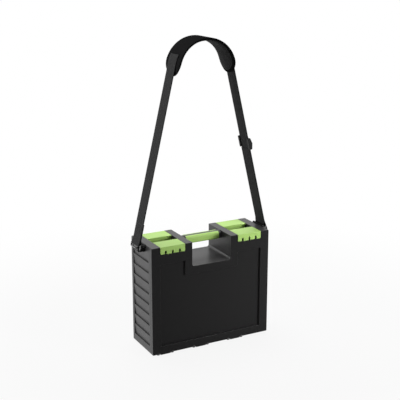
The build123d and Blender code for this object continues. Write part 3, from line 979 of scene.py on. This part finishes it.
@dataclass
class ShoulderPad:
    """The moulded pad: an outer shell, a cushion under it, and a lining panel on the inner face.

    A profile runs from the middle of a layer's outer face round its edge to its inner face. Each of
    its points is an inset from the layer's outline and a height over the pad's outer face, in
    millimetres, as drawn for a pad of the drawn thickness.
    """

    leg_drop: float = 11.0 * MM
    outer_radius: float = 71.2 * MM
    crown_thickness: float = 6.5 * MM
    leg_thickness: float = 8.5 * MM
    width: float = 70.0 * MM
    end_radius: float = 34.0 * MM
    lining_margin: float = 5.0 * MM
    side_steps: int = 64
    corner_steps: int = 10
    sharp_angle: float = 50.0
    drawn_thickness: float = 9.0 * MM
    arc_radius: float = 67.5 * MM
    shell: Profile = field(
        default_factory=lambda: [
            (32.0, 0.0), (15.0, 0.0), (8.4, 0.0), (7.4, -0.1), (6.7, -0.35), (6.0, -0.1),
            (5.2, 0.0), (2.4, 0.0), (1.1, -0.25), (0.35, -0.8), (0.0, -1.5), (0.0, -2.1),
            (0.3, -2.7), (1.1, -3.1), (2.4, -3.2), (32.0, -3.2),
        ]
    )
    cushion: Profile = field(
        default_factory=lambda: [
            (32.0, -3.3), (2.6, -3.3), (1.6, -3.45), (1.2, -3.8), (1.3, -4.3), (2.0, -5.0),
            (3.2, -5.9), (5.0, -7.0), (7.5, -8.1), (10.5, -8.8), (14.0, -9.0), (32.0, -9.0),
        ]
    )
    lining: Profile = field(
        default_factory=lambda: [
            (27.0, -9.1), (10.0, -9.1), (6.5, -8.9), (3.5, -8.2), (1.0, -7.1), (0.3, -6.9),
            (0.1, -7.2), (0.3, -7.8), (1.0, -8.3), (1.7, -8.4), (2.3, -8.35), (2.9, -8.8),
            (4.0, -9.35), (6.5, -10.1), (10.0, -10.45), (14.0, -10.5), (27.0, -10.5),
        ]
    )

    def outline(self, margin: float, inset: float) -> list[Point2]:
        """A layer's rounded outline while it is flat, moved inwards, with as many points at any inset.

        Args:
            margin: How far the layer stays inside the pad's own outline.
            inset: How far the outline moves inwards from there.

        Returns:
            Points along and across the pad.
        """
        half_length = math.pi * self.arc_radius / 2 + self.leg_drop - margin
        half_width = self.width / 2 - margin
        radius = self.end_radius - margin
        straight = half_length - radius
        side = half_width - radius
        points = []
        for i in range(self.side_steps):
            points.append((-straight + 2 * straight * i / self.side_steps, -(half_width - inset)))
        centres = [(straight, -side), (straight, side), (-straight, side), (-straight, -side)]
        for turn, (along, across) in enumerate(centres):
            for i in range(self.corner_steps + 1):
                angle = math.radians(-90 + 90 * turn + 90 * i / self.corner_steps)
                reach = radius - inset
                points.append((along + reach * math.cos(angle), across + reach * math.sin(angle)))
            if turn == 1:
                for i in range(1, self.side_steps):
                    points.append((straight - 2 * straight * i / self.side_steps, half_width - inset))
        return points[:-1]

    def on_arc(self, along: float, across: float, height: float) -> Point3:
        """Wraps a point of the flat pad on the shoulder's arc.

        Args:
            along: Distance along the pad from its middle.
            across: Distance across it.
            height: Height over its outer face, as drawn at the drawn thickness.

        Returns:
            The point in the shared frame.
        """
        angle = along / self.arc_radius
        lift = self.leg_thickness - self.crown_thickness
        inner_radius = self.outer_radius - self.leg_thickness
        reach = lift * math.cos(angle) + math.sqrt(inner_radius**2 - (lift * math.sin(angle)) ** 2)
        thickness = self.outer_radius - reach
        if height < -self.drawn_thickness:
            radius = reach + height + self.drawn_thickness
        else:
            radius = self.outer_radius + height * thickness / self.drawn_thickness
        return (radius * math.sin(angle), across, PAD_CENTRE_Z + radius * math.cos(angle))

    def layer(self, name: str, margin: float, profile: Profile) -> bpy.types.Object:
        """Makes one closed layer of the pad.

        Args:
            name: Its name.
            margin: How far it stays inside the pad's own outline.
            profile: Its profile.

        Returns:
            The piece.
        """
        mesh = bmesh.new()
        rings = []
        for inset, height in profile:
            ring = self.outline(margin, inset * MM)
            rings.append([mesh.verts.new(self.on_arc(a, b, height * MM)) for a, b in ring])
        count = len(rings[0])
        for upper, lower in zip(rings, rings[1:]):
            for i in range(count):
                j = (i + 1) % count
                mesh.faces.new((upper[i], lower[i], lower[j], upper[j]))
        self.close(mesh, rings[0], flip=False)
        self.close(mesh, rings[-1], flip=True)
        bmesh.ops.recalc_face_normals(mesh, faces=mesh.faces)
        data = bpy.data.meshes.new(name)
        mesh.to_mesh(data)
        mesh.free()
        piece = add_object(name, data)
        smooth(piece, self.sharp_angle)
        return piece

    def close(self, mesh: bmesh.types.BMesh, ring: list[bmesh.types.BMVert], flip: bool) -> None:
        """Closes a layer's face inside its last ring: strips across its straight part and a cap at each end.

        Args:
            mesh: The mesh.
            ring: The ring's vertices.
            flip: Whether the faces turn over.
        """
        n = self.side_steps
        far = n + 2 * self.corner_steps + 2
        front = ring[: n + 1]
        back = [ring[(far + n - i - 1) % len(ring)] for i in range(n + 1)]
        caps = [ring[n:far], ring[far + n - 1 :] + [ring[0]]]
        strips = [[front[i], front[i + 1], back[i + 1], back[i]] for i in range(n)]
        for corners in strips + caps:
            mesh.faces.new(corners[::-1] if flip else corners)

    def build(self, finishes: Finishes) -> None:
        """Makes the pad's layers and dresses them.

        Args:
            finishes: The finishes.
        """
        for name, margin, profile, finish, node in (
            ("pad_outer_shell", 0.0, self.shell, PAD_SHELL, "shoulder_pad"),
            ("pad_cushion", 0.0, self.cushion, PAD_SHELL, "shoulder_pad"),
            ("pad_inner_panel", self.lining_margin, self.lining, PAD_LINING, "pad_lining"),
        ):
            piece = self.layer(name, margin, profile)
            finishes.dress(piece, finish)
            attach(piece, "strap")
            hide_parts(node)
            log.info("pad layer %s", piece.name)


@dataclass(frozen=True)
class Lamp:
    """One soft square lamp: its size is its side, and its spread is in degrees."""

    name: str
    place: Point3
    aim: Point3
    size: float
    watts: float
    spread: float = 180.0

    def build(self) -> None:
        """Makes the lamp and turns it to what it faces."""
        data = bpy.data.lights.new(self.name, "AREA")
        data.size = self.size
        data.spread = math.radians(self.spread)
        data.energy = self.watts
        stand(add_object(self.name, data), self.place, Vector(self.aim) - Vector(self.place))


CASE_MIDDLE = (0.0, 0.0, 0.2)
LAMPS = (
    Lamp("key", (-2.4, 0.25, 0.32), CASE_MIDDLE, size=0.9, watts=56.0),
    Lamp("overhead", (0.1, 0.9, 2.4), CASE_MIDDLE, size=1.6, watts=60.0),
    Lamp("back_left", (-1.4, 1.9, 0.5), CASE_MIDDLE, size=0.9, watts=9.0),
    Lamp("fill", (1.0, -0.95, 0.5), (0.46, -0.05, 0.2), size=0.9, watts=3.4, spread=46.0),
)


@dataclass
class Studio:
    """Camera, lamps, floor and background."""

    camera_place: Point3 = (-0.9305, -1.7582, 0.8972)
    camera_facing: Point3 = (0.4495, 0.8511, -0.2714)
    lens: float = 81.3
    sensor: float = 36.0
    soft_light: float = 0.11
    floor_side: float = 12.0
    floor_colour: Colour = grey(0.45)
    white: Colour = grey(1.0)
    shown_white: float = 0.9
    shadow_reach: float = 0.35
    shadow_end: float = 1.05

    def build(self) -> None:
        """Makes the whole studio."""
        self.camera()
        self.world()
        for lamp in LAMPS:
            lamp.build()
        self.floor()
        bpy.context.scene.view_settings.view_transform = "Standard"

    def camera(self) -> None:
        """Places the camera where the photograph was taken from."""
        data = bpy.data.cameras.new("camera")
        data.lens = self.lens
        data.sensor_width = self.sensor
        camera = add_object("camera", data)
        stand(camera, self.camera_place, Vector(self.camera_facing))
        bpy.context.scene.camera = camera

    def seen_directly(self, nodes: Nodes) -> bpy.types.NodeSocket:
        """Adds a mask of the rays that show the background: from the camera, a gloss or a glass.

        Args:
            nodes: The material's or the world's nodes.

        Returns:
            The mask's socket, 0 or 1.
        """
        path = nodes.add("ShaderNodeLightPath")
        seen = nodes.math("MAXIMUM", path.outputs["Is Camera Ray"], path.outputs["Is Glossy Ray"])
        return nodes.math("MAXIMUM", seen, path.outputs["Is Transmission Ray"])

    def world(self) -> None:
        """Gives soft light from all round, and a white background where it is seen."""
        world = bpy.data.worlds.new("studio")
        bpy.context.scene.world = world
        nodes = Nodes.emptied(world)
        white = opaque(self.white)
        soft = nodes.add("ShaderNodeBackground", {"Color": white, "Strength": self.soft_light})
        shown = nodes.add("ShaderNodeBackground", {"Color": white, "Strength": 1.0})
        inputs = {0: self.seen_directly(nodes), 1: soft.outputs[0], 2: shown.outputs[0]}
        mixed = nodes.add("ShaderNodeMixShader", inputs)
        nodes.add("ShaderNodeOutputWorld", {"Surface": mixed.outputs[0]})

    def floor(self) -> None:
        """Lays the pale floor, which looks near white and keeps the object's shadow."""
        bpy.ops.mesh.primitive_plane_add(size=self.floor_side, location=(0.0, 0.0, cad_low.z))
        floor = bpy.context.object
        floor.name = "floor"
        material = bpy.data.materials.new("floor")
        nodes = Nodes.emptied(material)
        matte = nodes.add("ShaderNodeBsdfDiffuse", {"Color": opaque(self.floor_colour)})
        shown = nodes.add("ShaderNodeEmission", {"Color": opaque(self.white), "Strength": 1.0})
        away = nodes.add("ShaderNodeVectorMath", {0: nodes.place()}, operation="LENGTH").outputs["Value"]
        fade = {
            "Value": away,
            "From Min": self.shadow_reach,
            "From Max": self.shadow_end,
            "To Min": self.shown_white,
            "To Max": 1.0,
        }
        white_share = nodes.add("ShaderNodeMapRange", fade, interpolation_type="SMOOTHSTEP").outputs["Result"]
        share = nodes.math("MULTIPLY", self.seen_directly(nodes), white_share)
        mixed = nodes.add("ShaderNodeMixShader", {0: share, 1: matte.outputs[0], 2: shown.outputs[0]})
        nodes.add("ShaderNodeOutputMaterial", {"Surface": mixed.outputs[0]})
        floor.data.materials.append(material)


def main() -> None:
    """Builds the studio and the object's finishes and soft pieces."""
    for group in (GrainGroup(), EdgeGroup(), WeaveGroup()):
        group.build()
    Studio().build()
    finishes = Finishes()
    finishes.dress_nodes()
    makers = [CoverSkin(node) for node in ("front_cover", "back_cover")]
    makers += [Webbing(side, layer_top) for side, layer_top in LAYER_TOPS.items()]
    makers += [SliderTurn(), BoxStitch()]
    for maker in makers:
        log.info("built %s", maker.build(finishes).name)
    ShoulderPad().build(finishes)


if __name__ == "__main__":
    main()
